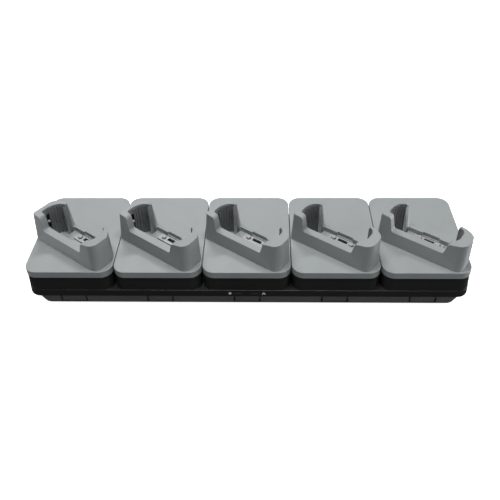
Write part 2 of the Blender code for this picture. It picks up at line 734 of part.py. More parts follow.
def main_board():
    """T-shaped board with a header under each cup and a tab under the sockets."""
    outline = [(-190, -30), (190, -30), (190, 36), (60, 36), (60, 54), (-60, 54), (-60, 36), (-190, 36)]
    body = prism("main_board", [(x * MM, y * MM) for x, y in outline], *BOARD_Z)
    headers = []
    for index in range(CUP_COUNT):
        x = cup_x(index)
        box = (x - PLUG_HALF[0], x + PLUG_HALF[0], -PLUG_HALF[1], PLUG_HALF[1])
        headers.append(block("header", box, BOARD_Z[1] - 0.5 * MM, HEADER_TOP_Z))
    top = BOARD_Z[1]
    chips = [
        block("chip", (x - 6 * MM, x + 6 * MM, 14 * MM, 26 * MM), top - 0.5 * MM, top + 1.4 * MM)
        for x in (-20 * MM, 15 * MM)
    ]
    join(body, *headers, *chips)
    return finish(body, plastic("main_board_green", (0.015, 0.09, 0.04), 0.5))


def cup_cable(index, material):
    """Flat cable from the main board's header to the plug of one cup."""
    bottom = HEADER_TOP_Z + FIT_GAP
    top = PLATE_TOP_Z + PLUG_BOTTOM - FIT_GAP
    steps = 12
    bow = 3 * MM
    half = 0.4 * MM
    parts = [i / steps for i in range(steps + 1)]
    middle = [(bow * math.sin(2 * math.pi * part), bottom + (top - bottom) * part) for part in parts]
    profile = [(y + half, z) for y, z in middle] + [(y - half, z) for y, z in reversed(middle)]
    x = cup_x(index)
    return finish(slab_along_x(f"cup_cable_{index + 1}", profile, x - 4 * MM, x + 4 * MM), material)


def network_jack(index, x, material):
    """Eight-way jack: a box with a stepped socket for the plug and its tab."""
    z0 = BOARD_Z[1] + FIT_GAP
    z1 = 20.1 * MM
    body = block(f"network_jack_{index}", (x - 8.1 * MM, x + 8.1 * MM, 44.5 * MM, SOCKET_FACE_Y), z0, z1)
    outline = [(x + 6 * MM, z1 - 1.2 * MM), (x - 6 * MM, z1 - 1.2 * MM)]
    left = [(x - 6 * MM, z0 + 3.4 * MM), (x - 3.1 * MM, z0 + 3.4 * MM), (x - 3.1 * MM, z0 + 1.4 * MM)]
    right = [(x + 3.1 * MM, z0 + 1.4 * MM), (x + 3.1 * MM, z0 + 3.4 * MM), (x + 6 * MM, z0 + 3.4 * MM)]
    cut(body, slab_along_y("socket", outline + left + right, 47 * MM, SOCKET_FACE_Y + MM))
    return finish(body, material)


def power_inlet():
    """Rectangular inlet with four short contacts at the back of its socket."""
    x = INLET_CENTRE_X
    z0 = BOARD_Z[1] + FIT_GAP
    z1 = 19 * MM
    body = block("power_inlet", (x - 7 * MM, x + 7 * MM, 44.5 * MM, SOCKET_FACE_Y), z0, z1)
    socket_box = (x - 5.4 * MM, x + 5.4 * MM, 47 * MM, SOCKET_FACE_Y + MM)
    cut(body, block("socket", socket_box, z0 + 2 * MM, z1 - 2 * MM))
    half = 0.6 * MM
    contacts = [
        block("contact", (cx - half, cx + half, 46.5 * MM, 50.5 * MM), z - half, z + half)
        for cx in (x - 2.5 * MM, x + 2.5 * MM)
        for z in (z0 + 4.2 * MM, z0 + 7.4 * MM)
    ]
    join(body, *contacts)
    return finish(body, plastic("inlet_black", (0.012, 0.012, 0.013), 0.4))


def light_pipe(name, x, material):
    """Clear bar that carries light from the board to the front of the base."""
    front = -PLATE_DEPTH / 2 - (PAD_TOP_Z - LIGHT_Z[0]) * COVER_DRAFT + 0.2 * MM
    z0, z1 = LIGHT_Z
    foot = BOARD_Z[1] + 1.5 * MM
    profile = [(front, z0), (-30 * MM, z0), (-27.5 * MM, foot)]
    profile += [(-26.2 * MM, foot), (-28 * MM, z1), (front, z1)]
    body = slab_along_x(name, profile, x - LIGHT_WIDTH / 2, x + LIGHT_WIDTH / 2)
    return finish(body, material)


# ---------------------------------------------------------------- assembly

def build_cups():
    frames = pocket_frames()
    spread(cup_shell(), frames, "cup_shell")
    spread(tower_liner(), frames, "tower_liner")
    spread(contact_carrier(), frames, "contact_carrier")
    spread(contact_pins(), frames, "contact_pins", slot_centre())
    spread(cup_board(), frames, "cup_board")
    spread(retention_latch(), frames, "retention_latch", (latch_plane(), LATCH_Y, LATCH_KNOB_Z))


def build_base():
    base_top_cover().name = "base_top_cover"
    base_bottom_tray()
    steel = plastic("screw_steel", (0.45, 0.45, 0.46), 0.35, 1.0)
    rubber = plastic("foot_rubber", (0.02, 0.02, 0.02), 0.85)
    release_grey = plastic("release_grey", (0.03, 0.03, 0.032), 0.5)
    for number, place in enumerate(four_places(SCREW_HALF_SPREAD), 1):
        base_screw(number, place, steel)
    for number, place in enumerate(four_places(FOOT_HALF_SPREAD), 1):
        rubber_foot(number, place, rubber)
    for index in range(CUP_COUNT):
        cup_release(index, release_grey)


def build_electronics():
    main_board()
    power_inlet()
    jack_black = plastic("jack_black", (0.014, 0.014, 0.015), 0.4)
    for number, x in enumerate(JACK_CENTRES_X, 1):
        network_jack(number, x, jack_black)
    ribbon = plastic("ribbon_grey", (0.3, 0.3, 0.31), 0.5)
    for index in range(CUP_COUNT):
        cup_cable(index, ribbon)
    clear = plastic("light_clear", (0.25, 0.26, 0.27), 0.25)
    for name, x in zip(("link_light_pipe", "speed_light_pipe"), LIGHT_CENTRES_X):
        light_pipe(name, x, clear)


def main():
    clear_scene()
    build_cups()
    build_base()
    build_electronics()
    bpy.context.view_layer.update()


main()
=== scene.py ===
"""Looks of a five-bay charging cradle for handheld payment terminals.

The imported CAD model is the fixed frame.  Each visible moulding is built again
here in the same place and size, with fine round corners and real edge radii.
CAD nodes that lie inside or underneath keep their shape and get a finished
material.  Lengths are in metres; MM turns millimetres into metres.

Each cup is modelled in its pocket frame: the origin is the centre of the
plate's top face, X runs along the pocket, Y across it to the back, Z up.
"""

import math

import bmesh
import bpy
from mathutils import Matrix, Vector


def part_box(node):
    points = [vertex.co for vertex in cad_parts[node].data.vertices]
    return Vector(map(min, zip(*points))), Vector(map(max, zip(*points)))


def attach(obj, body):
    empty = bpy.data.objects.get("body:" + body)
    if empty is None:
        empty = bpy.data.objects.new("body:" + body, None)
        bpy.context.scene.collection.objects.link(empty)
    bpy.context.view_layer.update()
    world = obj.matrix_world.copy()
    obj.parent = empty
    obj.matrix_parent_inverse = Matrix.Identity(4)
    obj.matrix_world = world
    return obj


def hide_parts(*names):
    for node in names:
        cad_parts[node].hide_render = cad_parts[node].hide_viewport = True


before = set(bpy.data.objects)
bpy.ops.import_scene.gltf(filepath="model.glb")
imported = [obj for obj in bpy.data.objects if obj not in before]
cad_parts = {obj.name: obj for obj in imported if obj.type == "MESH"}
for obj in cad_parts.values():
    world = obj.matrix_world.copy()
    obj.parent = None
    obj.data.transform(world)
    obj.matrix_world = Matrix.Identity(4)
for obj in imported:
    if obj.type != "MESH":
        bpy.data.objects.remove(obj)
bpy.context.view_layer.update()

MM = 0.001
CORNER_STEPS = 16
FIT_GAP = 0.3 * MM

# Sizes that the frame gives.  A cup shell's box takes in the foot of its left wing,
# which stands 0.2 mm past the plate's side.
CUP_COUNT = 5
CUP_BOXES = [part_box(f"cup_shell_{number}") for number in range(1, CUP_COUNT + 1)]
CUP_X = [(low.x + high.x) / 2 for low, high in CUP_BOXES]
PLATE_WIDTH = CUP_BOXES[0][1].x - CUP_BOXES[0][0].x
PLATE_DEPTH = CUP_BOXES[0][1].y - CUP_BOXES[0][0].y
PLATE_BOTTOM_Z = CUP_BOXES[0][0].z
ROW_HALF = CUP_X[-1] + PLATE_WIDTH / 2
TRAY_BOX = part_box("base_bottom_tray")
FOOT_PROUD = TRAY_BOX[0].z
COVER_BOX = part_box("base_top_cover")

# Plates
PLATE_HEIGHT = 7.85 * MM
PLATE_RADIUS = 12.5 * MM
PLATE_EDGE = 0.5 * MM
PLATE_EDGE_STEPS = 5
PLATE_SKIN = 2.4 * MM
PLATE_TOP_Z = PLATE_BOTTOM_Z + PLATE_HEIGHT
POCKET_TURN = math.radians(-35)

# Pocket walls, in the pocket frame
WALL_BOX = (-31.8 * MM, 60.2 * MM, -33.2 * MM, 3.4 * MM)
WALL_CORNERS = ((2.4 * MM, 2.4 * MM), (8 * MM, 8 * MM), (19 * MM, 15 * MM), (15.5 * MM, 12 * MM))
WALL_BENDS = (1, 1, 1.4, 1)
WALL_DRAFT = math.tan(math.radians(3))
CAVITY_BOX = (-25.5 * MM, 49 * MM, -24.2 * MM, -0.9 * MM)
CAVITY_CORNERS = ((3 * MM, 3 * MM), (6.5 * MM, 7 * MM), (9 * MM, 10 * MM), (13 * MM, 17 * MM))
CAVITY_FLOOR = -2.4 * MM
DEEP_END = -10.5 * MM
DEEP_FLOOR = -5.8 * MM
WALL_FOOT = -1.2 * MM
FLOOR_PAN_Z = (-4.4 * MM, -1.5 * MM)
FLOOR_PAN_MARGIN = 2.4 * MM
DEEP_PAN_Z = (-7.6 * MM, -1.2 * MM)
DEEP_PAN_MARGIN = 1.8 * MM
FRONT_WALL_TOP = 16.3 * MM
BACK_WALL_TOP = 3 * MM
NOTCH_X = (-10.9 * MM, 40.6 * MM)
WING_HEIGHT = 36 * MM
LIP = (-14.8 * MM, NOTCH_X[0], -4.7 * MM, 1.5 * MM)
BACK_RECESS_INSET = 1.2 * MM
BACK_RECESS_Y = (-2 * MM, 0.5 * MM)
RIM_SLOT_BOX = (6 * MM, 24 * MM, 0, 2 * MM)
RIM_SLOT_FLOOR = -1.5 * MM
EDGE_RADIUS = 0.45 * MM

# Roof over the towers: it falls away from both ends of the pocket
ROOF_MIDDLE_X = 10 * MM
LEFT_ROOF_X, LEFT_ROOF_Z, LEFT_ROOF_SLOPE = -31.3 * MM, 34 * MM, -0.09
RIGHT_ROOF_X, RIGHT_ROOF_Z, RIGHT_ROOF_SLOPE = 42 * MM, 29 * MM, 0.238
ROOF_ENDS = (-45 * MM, -13 * MM, 41 * MM, 70 * MM)

# Notches between the towers, in X and Z
CUTTER_TOP = 50 * MM
FRONT_SHOULDER = (-22 * MM, 3.6 * MM, 15)
FRONT_LEFT_FILLET = (-14 * MM, 3 * MM)
FRONT_RIGHT_FILLET = (37 * MM, 2.5 * MM)
FRONT_RIGHT_SIDE = ((41.6 * MM, 27.4 * MM), (43.4 * MM, 29.4 * MM), (46 * MM, CUTTER_TOP))
BACK_SHOULDER = (-16.6 * MM, 2.2 * MM, 10)
BACK_RIGHT_SIDE = ((41.1 * MM, 27 * MM), (43 * MM, 29.6 * MM), (46 * MM, CUTTER_TOP))

# Contact block in the pocket floor
CARRIER_BOX = (-1 * MM, 31 * MM, -9.3 * MM, -1.2 * MM)
CARRIER_TOP = -1.2 * MM
CARRIER_BOTTOM = -5.7 * MM
CONTACT_SLOT = (9.8 * MM, 20.7 * MM, -6.1 * MM, -2.1 * MM)
PEG_CENTRES = ((4.8 * MM, -4.6 * MM), (25.4 * MM, -4.6 * MM))
PEG_RADIUS = 2.5 * MM
PEG_TOP = 1.2 * MM
PIN_COUNT = 5
PIN_RADIUS = 0.5 * MM
PIN_TIP = -0.3 * MM
PIN_BAR = (-4 * MM, -3 * MM)
SLOT_CENTRE = Vector((sum(CONTACT_SLOT[:2]) / 2, sum(CONTACT_SLOT[2:]) / 2, 0))
PEG_GROOVE = (0.5 * MM, 0.6 * MM)
PEG_SHOULDER = 0.2 * MM

# Ribbed liner and latch in the left tower
LINER_THICKNESS = 1.2 * MM
LINER_DROP = 2.8 * MM
LINER_FRONT_END = -21.6 * MM
RIB_HEIGHT = 0.7 * MM
RIB_WIDTH = 1.6 * MM
RIB_PITCH = 3.2 * MM
RIB_FIRST = 11.5 * MM
LATCH_Y = -17.6 * MM
LATCH_SLOT = (3.4 * MM, 7 * MM, 25 * MM)
LATCH_LEAF = (4.8 * MM, 5.5 * MM, 26.5 * MM)
LATCH_LEAF_THICKNESS = 0.9 * MM
LATCH_TRAVEL = 1.2 * MM
LATCH_KNOB_Z = 15.5 * MM
LATCH_KNOB_RADIUS = 1.5 * MM
LATCH_REACH = 1.6 * MM
LATCH_PLANE = CAVITY_BOX[0] - LINER_THICKNESS - FIT_GAP

# Base
SEAM_Z = 14.4 * MM
LEDGE_Z = 22.7 * MM
PAD_TOP_Z = COVER_BOX[1].z
COVER_DRAFT = math.tan(math.radians(1.5))
COVER_WALL = 2.2 * MM
PAD_STEP = 0.4 * MM
TRAY_INSET_FRONT = 3 * MM
TRAY_INSET_END = 9.5 * MM
TRAY_INSET_SEAM = 1.5 * MM
TRAY_RADIUS = 11 * MM
TRAY_WALL = 2.2 * MM
TRAY_FLOOR = 2.6 * MM
TRAY_TOP_Z = SEAM_Z - FIT_GAP
FLANGE_TOP_Z = TRAY_BOX[1].z
FLANGE_ROOT = 0.7 * MM
FLANGE_CLEARANCE = 0.6 * MM
FOOT_SEAT = 1 * MM
SCREW_SEAT = 1.7 * MM
RELEASE_BOXES = [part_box(f"cup_release_{number}") for number in range(1, CUP_COUNT + 1)]
RELEASE_WIDTH = 24.8 * MM
RELEASE_SLIT = 1.5 * MM
RELEASE_Z = (2.9 * MM, 12.9 * MM)
RELEASE_FLANGE_RISE = 3 * MM
RELEASE_OPENING_DEPTH = 2.6 * MM
SOCKET_GAP = 0.5 * MM
SOCKET_Y = (50 * MM, 70 * MM)
TRAY_SOCKET_Z = 7.2 * MM
LIGHT_BAR_HEIGHT = 1.1 * MM
SOCKET_NODES = ("power_inlet", "network_jack_1", "network_jack_2")
LIGHT_NODES = ("link_light_pipe", "speed_light_pipe")
FOOT_NODES = [f"rubber_foot_{number}" for number in range(1, 5)]
SCREW_NODES = [f"base_screw_{number}" for number in range(1, 5)]

# Marks printed on both sides of the indicator bars
MARK_X = 17.2 * MM
MARK_DROP = 0.5 * MM
MARK_PROUD, MARK_DEPTH = 0.07 * MM, 0.3 * MM
DOT_RADIUS = 1.45 * MM
CHEVRON_ARM, CHEVRON_STROKE = 2.1 * MM, 1.1 * MM
CHEVRON_LOW, CHEVRON_CROTCH, CHEVRON_HIGH = -1.6 * MM, -0.1 * MM, 1.9 * MM

# Wires in each network jack
WIRE_COUNT = 8
WIRE_PITCH = 1.02 * MM
WIRE_HALF = 0.18 * MM
WIRE_Y = (47 * MM, 55.5 * MM)
WIRE_TOP_GAP, WIRE_DROP = 1.2 * MM, 3.6 * MM

# Mesh clean-up before edges are rounded
WELD = 0.03 * MM
FLAT_ANGLE = math.radians(0.4)
SCISSOR_ANGLE = math.radians(25)

# Lamps: name, place, aim, size and power in watts
LAMPS = (
    ("overhead_softbox", (0, -0.12, 1.2), (0, 0, 0), (0.8, 0.2), 10.0),
    ("back_softbox", (-0.25, 0.75, 1.1), (0, 0, 0), (0.5, 0.14), 6.4),
    ("right_softbox", (1.0, -0.1, 0.12), (0, 0, 0.06), (0.6, 0.2), 3.6),
    ("left_fill", (-0.45, -0.02, 0.05), (-0.2, -0.02, 0.05), (0.12, 0.08), 0.24),
    ("right_fill", (0.45, 0.06, 0.05), (0.2, 0, 0.05), (0.12, 0.08), 0.40),
)
BOUNCE = ("front_bounce", (0, -0.22, 0.004), (0, -0.05, 0.035), (0.9, 0.16), 0.22)
FLOOR_HALF = 6
FLOOR_GLOW = 0.95
WORLD_COLOUR, WORLD_GLOW = (0.93, 0.97, 1.0), 0.05

# Camera: above the front of the row, almost square to it; angles in radians
CAMERA_PLACE = (20.8 * MM, -505.68 * MM, 495.26 * MM)
CAMERA_YAW, CAMERA_PITCH, CAMERA_ROLL = -0.0336, 0.62529, -0.02131
CAMERA_LENS, CAMERA_SENSOR = 45.24, 36
CAMERA_SHIFT_Y = -0.16


# ---------------------------------------------------------------- materials

def blank_material(name):
    made = bpy.data.materials.new(name)
    made.use_nodes = True
    tree = made.node_tree
    return made, tree, tree.nodes["Principled BSDF"]


def noise(tree, scale, detail=3.0, roughness=0.55):
    """Noise in the piece's own coordinates; the scale is in cells per metre."""
    place = tree.nodes.new("ShaderNodeTexCoord")
    made = tree.nodes.new("ShaderNodeTexNoise")
    made.inputs["Scale"].default_value = scale
    made.inputs["Detail"].default_value = detail
    made.inputs["Roughness"].default_value = roughness
    tree.links.new(place.outputs["Object"], made.inputs["Vector"])
    return made.outputs["Fac"]


def ramp(tree, factor, stops):
    made = tree.nodes.new("ShaderNodeValToRGB")
    made.color_ramp.elements[0].position = stops[0][0]
    made.color_ramp.elements[0].color = (*stops[0][1], 1)
    made.color_ramp.elements[1].position = stops[-1][0]
    made.color_ramp.elements[1].color = (*stops[-1][1], 1)
    for position, colour in stops[1:-1]:
        made.color_ramp.elements.new(position).color = (*colour, 1)
    tree.links.new(factor, made.inputs["Fac"])
    return made.outputs["Color"]


def between(tree, factor, low, high):
    """Map the middle of a noise's range to a range of values."""
    made = tree.nodes.new("ShaderNodeMapRange")
    made.inputs["From Min"].default_value = 0.3
    made.inputs["From Max"].default_value = 0.7
    made.inputs["To Min"].default_value = low
    made.inputs["To Max"].default_value = high
    tree.links.new(factor, made.inputs["Value"])
    return made.outputs["Result"]


def bump(tree, height, distance, normal=None, strength=1.0):
    made = tree.nodes.new("ShaderNodeBump")
    made.inputs["Strength"].default_value = strength
    made.inputs["Distance"].default_value = distance
    tree.links.new(height, made.inputs["Height"])
    if normal:
        tree.links.new(normal, made.inputs["Normal"])
    return made.outputs["Normal"]


def surface(tree, shader, colour, roughness, normal):
    """Feed the shader from the nodes that make its colour, roughness and normal."""
    tree.links.new(colour, shader.inputs["Base Color"])
    tree.links.new(roughness, shader.inputs["Roughness"])
    tree.links.new(normal, shader.inputs["Normal"])


def grey(level):
    return (level, level, level)


def tint(colour, amount):
    return tuple(min(1.0, channel * amount) for channel in colour)


def moulded_plastic(name, colour, roughness, grain_size, grain_depth, mottle=0.05):
    """Plastic from a spark-eroded mould: fine grain, faint flow clouds and worn, shinier patches."""
    made, tree, shader = blank_material(name)
    cloud = noise(tree, scale=22, detail=4)
    grain = noise(tree, scale=1 / grain_size, detail=2)
    handled = noise(tree, scale=70, detail=5, roughness=0.62)
    shade = ramp(tree, cloud, (
        (0.30, tint(colour, 1 - mottle)), (0.52, colour), (0.74, tint(colour, 1 + mottle)),
    ))
    fleck = tree.nodes.new("ShaderNodeMix")
    fleck.data_type = "RGBA"
    fleck.blend_type = "MULTIPLY"
    fleck.inputs["Factor"].default_value = 0.35
    tree.links.new(shade, fleck.inputs["A"])
    tree.links.new(ramp(tree, grain, ((0.32, grey(0.72)), (0.62, grey(1.0)))), fleck.inputs["B"])
    gloss = between(tree, handled, roughness - 0.07, roughness + 0.06)
    fine = bump(tree, grain, grain_depth)
    worn = bump(tree, handled, 0.05 * MM, fine, strength=0.3)
    surface(tree, shader, fleck.outputs["Result"], gloss, worn)
    shader.inputs["Specular IOR Level"].default_value = 0.4
    return made


def rubber():
    """Matt black rubber of the feet."""
    made, tree, shader = blank_material("foot_rubber_look")
    grain = noise(tree, scale=1400, detail=4, roughness=0.7)
    colour = ramp(tree, grain, ((0.3, grey(0.012)), (0.7, grey(0.026))))
    surface(tree, shader, colour, between(tree, grain, 0.8, 0.95), bump(tree, grain, 0.06 * MM))
    return made


def plated_metal(name, colour, roughness):
    """Plated metal with a brushed, slightly uneven gloss."""
    made, tree, shader = blank_material(name)
    streak = noise(tree, scale=900, detail=5, roughness=0.7)
    shade = ramp(tree, streak, ((0.3, tint(colour, 0.86)), (0.7, colour)))
    gloss = between(tree, streak, roughness - 0.06, roughness + 0.12)
    surface(tree, shader, shade, gloss, bump(tree, streak, 0.01 * MM, strength=0.5))
    shader.inputs["Metallic"].default_value = 1.0
    return made


def circuit_board():
    """Green solder mask with paler copper areas and lines under it."""
    made, tree, shader = blank_material("board_look")
    place = tree.nodes.new("ShaderNodeTexCoord")
    tracks = tree.nodes.new("ShaderNodeTexBrick")
    tracks.inputs["Scale"].default_value = 160
    tracks.inputs["Mortar Size"].default_value = 0.06
    tracks.inputs["Color1"].default_value = (0.010, 0.085, 0.032, 1)
    tracks.inputs["Color2"].default_value = (0.014, 0.105, 0.042, 1)
    tracks.inputs["Mortar"].default_value = (0.030, 0.200, 0.075, 1)
    tree.links.new(place.outputs["Object"], tracks.inputs["Vector"])
    gloss = between(tree, noise(tree, scale=240), 0.28, 0.42)
    surface(tree, shader, tracks.outputs["Color"], gloss, bump(tree, tracks.outputs["Fac"], 0.03 * MM))
    return made


def ribbon():
    """Flat grey cable with its conductors side by side."""
    made, tree, shader = blank_material("ribbon_look")
    place = tree.nodes.new("ShaderNodeTexCoord")
    lines = tree.nodes.new("ShaderNodeTexWave")
    lines.inputs["Scale"].default_value = 320
    tree.links.new(place.outputs["Object"], lines.inputs["Vector"])
    colour = ramp(tree, lines.outputs["Fac"], ((0.2, grey(0.20)), (0.8, grey(0.36))))
    gloss = between(tree, noise(tree, scale=300), 0.42, 0.55)
    surface(tree, shader, colour, gloss, bump(tree, lines.outputs["Fac"], 0.2 * MM))
    return made


def clear_bar():
    """Smoky diffusing plastic of an unlit indicator bar."""
    made, tree, shader = blank_material("light_bar_look")
    cloud = noise(tree, scale=700, detail=3)
    colour = ramp(tree, cloud, ((0.3, (0.060, 0.062, 0.066)), (0.7, (0.085, 0.088, 0.092))))
    surface(tree, shader, colour, between(tree, cloud, 0.25, 0.4), bump(tree, cloud, 0.02 * MM))
    shader.inputs["Coat Weight"].default_value = 0.3
    return made


def printed_ink():
    """Off-white ink of the printed marks."""
    made, tree, shader = blank_material("ink_look")
    speckle = noise(tree, scale=5000, detail=3)
    colour = ramp(tree, speckle, ((0.25, grey(0.82)), (0.6, grey(0.93))))
    surface(tree, shader, colour, between(tree, speckle, 0.45, 0.6), bump(tree, speckle, 0.01 * MM))
    return made


# Each plastic: colour, roughness, grain size and depth, then how cloudy it is
CUP_GREY = moulded_plastic("cup_grey_look", (0.355, 0.377, 0.380), 0.54, 0.45 * MM, 0.012 * MM)
# The liner's own grey; it also paints shade on the lip's side and in the right tower.
LINER_AND_SHADE_GREY = moulded_plastic("liner_and_painted_shade_look", (0.235, 0.246, 0.256), 0.30, 0.35 * MM, 0.010 * MM, 0.10)
# Pale grey painted as a highlight on the rib tops and on the lip's front.
PAINTED_HIGHLIGHT_GREY = moulded_plastic("painted_highlight_look", (0.600, 0.620, 0.635), 0.26, 0.35 * MM, 0.008 * MM, 0.10)
CARRIER_GREY = moulded_plastic("carrier_grey_look", (0.42, 0.43, 0.43), 0.34, 0.35 * MM, 0.008 * MM)
LATCH_GREY = moulded_plastic("latch_grey_look", (0.50, 0.51, 0.52), 0.26, 0.35 * MM, 0.006 * MM)
COVER_BLACK = moulded_plastic("cover_black_look", (0.021, 0.0215, 0.022), 0.34, 0.40 * MM, 0.010 * MM, 0.12)
TRAY_GREY = moulded_plastic("tray_grey_look", (0.128, 0.128, 0.123), 0.52, 0.50 * MM, 0.020 * MM, 0.08)
RELEASE_GREY = moulded_plastic(
    "release_grey_look", (0.120, 0.120, 0.115), 0.50, 0.50 * MM, 0.018 * MM, 0.08
)
SOCKET_BLACK = moulded_plastic("socket_black_look", (0.010, 0.010, 0.011), 0.40, 0.30 * MM, 0.006 * MM)
PIN_BLACK = moulded_plastic("pin_bar_look", (0.012, 0.012, 0.013), 0.45, 0.30 * MM, 0.006 * MM)
GOLD = plated_metal("gold_look", (0.83, 0.62, 0.26), 0.22)
STEEL = plated_metal("steel_look", (0.46, 0.46, 0.47), 0.32)
RUBBER = rubber()
BOARD = circuit_board()
RIBBON = ribbon()
CLEAR = clear_bar()
INK = printed_ink()


# ---------------------------------------------------------------- shapes

def new_object(name, mesh):
    obj = bpy.data.objects.new(name, mesh)
    bpy.context.scene.collection.objects.link(obj)
    return obj


def bent(ratio, power):
    """A sine or cosine raised to a power with its sign kept."""
    return math.copysign(abs(ratio) ** power, ratio)


def rounded_outline(box, corners, steps=CORNER_STEPS, bends=(1, 1, 1, 1)):
    """Outline of a box with elliptic corners, anticlockwise from the front left.

    A bend above 1 flattens its corner towards a straight chamfer.
    """
    x0, x1, y0, y1 = box
    signs = ((1, 1, x0, y0), (-1, 1, x1, y0), (-1, -1, x1, y1), (1, -1, x0, y1))
    points = []
    for quarter, ((rx, ry), bend, (sx, sy, x, y)) in enumerate(zip(corners, bends, signs)):
        for step in range(steps + 1):
            angle = math.pi + (quarter + step / steps) * math.pi / 2
            along = bent(math.cos(angle), bend)
            across = bent(math.sin(angle), bend)
            points.append((x + rx * (sx + along), y + ry * (sy + across)))
    return points


def inset(box, corners, amount):
    """Box and corner radii moved inwards by an amount."""
    x0, x1, y0, y1 = box
    smaller = (x0 + amount, x1 - amount, y0 + amount, y1 - amount)
    return smaller, tuple((rx - amount, ry - amount) for rx, ry in corners)


def square_corners(radius):
    return ((radius, radius),) * 4


def loft(name, rings):
    """Closed solid through rings of 3-D points that all have the same count."""
    shape = bmesh.new()
    loops = [[shape.verts.new(point) for point in ring] for ring in rings]
    for lower, upper in zip(loops, loops[1:]):
        for i in range(len(lower)):
            j = (i + 1) % len(lower)
            shape.faces.new((lower[i], lower[j], upper[j], upper[i]))
    shape.faces.new(list(reversed(loops[0])))
    shape.faces.new(loops[-1])
    bmesh.ops.recalc_face_normals(shape, faces=shape.faces)
    mesh = bpy.data.meshes.new(name)
    shape.to_mesh(mesh)
    shape.free()
    return new_object(name, mesh)


def prism(name, outline, z0, z1):
    return loft(name, [[(x, y, z) for x, y in outline] for z in (z0, z1)])


def block(name, box, z0, z1):
    x0, x1, y0, y1 = box
    return prism(name, [(x0, y0), (x1, y0), (x1, y1), (x0, y1)], z0, z1)


def circle(centre, radius, sides=32):
    cx, cy = centre
    angles = [2 * math.pi * i / sides for i in range(sides)]
    return [(cx + radius * math.cos(a), cy + radius * math.sin(a)) for a in angles]


def turned(name, centre, profile, sides=32):
    """Solid turned about a vertical axis; the profile is (radius, z) from below."""
    return loft(name, [[(x, y, z) for x, y in circle(centre, radius, sides)] for radius, z in profile])


def slab_along_y(name, profile, y0, y1):
    """A profile in X and Z, extruded along Y."""
    return loft(name, [[(x, y, z) for x, z in profile] for y in (y0, y1)])


def slab_along_x(name, profile, x0, x1):
    """A profile in Y and Z, extruded along X."""
    return loft(name, [[(x, y, z) for y, z in profile] for x in (x0, x1)])


def quarter_turn(steps):
    """Angles of a quarter turn, up to its last step but one."""
    return [math.pi / 2 * step / steps for step in range(steps)]


def arc(centre, radius, start, end, steps=10):
    """Points on a circular arc between two angles in degrees."""
    cx, cz = centre
    angles = [math.radians(start + (end - start) * i / steps) for i in range(steps + 1)]
    return [(cx + radius * math.cos(a), cz + radius * math.sin(a)) for a in angles]


def combine(target, operation, tools):
    """Join the tools to the target, or cut them from it, and remove them."""
    for tool in tools:
        modifier = target.modifiers.new(operation.title(), "BOOLEAN")
        modifier.operation = operation
        modifier.object = tool
        modifier.solver = "EXACT"
    apply_modifiers(target)
    for tool in tools:
        bpy.data.objects.remove(tool)
    return target


def apply_modifiers(obj):
    bpy.context.view_layer.update()
    graph = bpy.context.evaluated_depsgraph_get()
    mesh = bpy.data.meshes.new_from_object(obj.evaluated_get(graph))
    obj.modifiers.clear()
    obj.data = mesh


def join(target, *tools):
    return combine(target, "UNION", tools)


def cut(target, *tools):
    return combine(target, "DIFFERENCE", tools)


def sort_edges(shape, limit):
    """Edges of a solid sharper than a limit in degrees, and those of them to round.

    Inner corners stay crisp, and so do edges that meet another one like the blades of scissors.
    """
    sharp = {edge for edge in shape.edges if edge.calc_face_angle(0.0) > math.radians(limit)}
    rounded = {edge for edge in sharp if edge.is_convex}
    for vert in shape.verts:
        ends = [(edge, edge.other_vert(vert).co - vert.co) for edge in vert.link_edges if edge in sharp]
        for number, (edge, along) in enumerate(ends):
            for other, across in ends[:number]:
                if along.angle(across) < SCISSOR_ANGLE:
                    rounded -= {edge, other}
    return sharp, rounded


def soften(obj, radius, segments=3, limit=32):
    """Give the outer edges of a solid a round of that radius, and smooth normals."""
    shape = bmesh.new()
    shape.from_mesh(obj.data)
    bmesh.ops.remove_doubles(shape, verts=shape.verts, dist=WELD)
    bmesh.ops.dissolve_limit(
        shape, angle_limit=FLAT_ANGLE, verts=shape.verts, edges=shape.edges, delimit={"MATERIAL"}
    )
    bmesh.ops.triangulate(shape, faces=[face for face in shape.faces if len(face.verts) > 4])
    for face in shape.faces:
        face.smooth = True
    for edge in shape.edges:
        edge.smooth = True
    weight = shape.edges.layers.float.new("bevel_weight_edge")
    sharp, rounded = sort_edges(shape, limit)
    for edge in sharp:
        edge[weight] = float(edge in rounded)
        edge.smooth = edge in rounded
    shape.to_mesh(obj.data)
    shape.free()
    rounding = obj.modifiers.new("edge_radius", "BEVEL")
    rounding.width = radius
    rounding.segments = segments
    rounding.limit_method = "WEIGHT"
    rounding.use_clamp_overlap = False
    rounding.loop_slide = False
    normals = obj.modifiers.new("even_normals", "WEIGHTED_NORMAL")
    normals.weight = 100
    normals.keep_sharp = True
    apply_modifiers(obj)
    return obj


def paint(obj, *materials):
    obj.data.materials.clear()
    for material in materials:
        obj.data.materials.append(material)
    return obj


def in_every_pocket(template, name, node, body, offset=Vector()):
    """One piece for each cup that shares the template's mesh and stands for a CAD node."""
    template.data.transform(Matrix.Rotation(POCKET_TURN, 4, "Z") @ Matrix.Translation(offset))
    for number, x in enumerate(CUP_X, 1):
        piece = new_object(f"{name}_{number}", template.data)
        piece.location = (x, 0, PLATE_TOP_Z)
        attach(piece, body.format(number))
        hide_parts(f"{node}_{number}")
    bpy.data.objects.remove(template)


def single(piece, node):
    """A piece of the base that stands for a CAD node."""
    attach(piece, "base")
    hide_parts(node)


# ---------------------------------------------------------------- cup shell

def plate_outline(amount=0.0):
    half = (-PLATE_WIDTH / 2, PLATE_WIDTH / 2, -PLATE_DEPTH / 2, PLATE_DEPTH / 2)
    turn = Matrix.Rotation(-POCKET_TURN, 2)
    outline = rounded_outline(*inset(half, square_corners(PLATE_RADIUS), amount))
    return [tuple(turn @ Vector(point)) for point in outline]


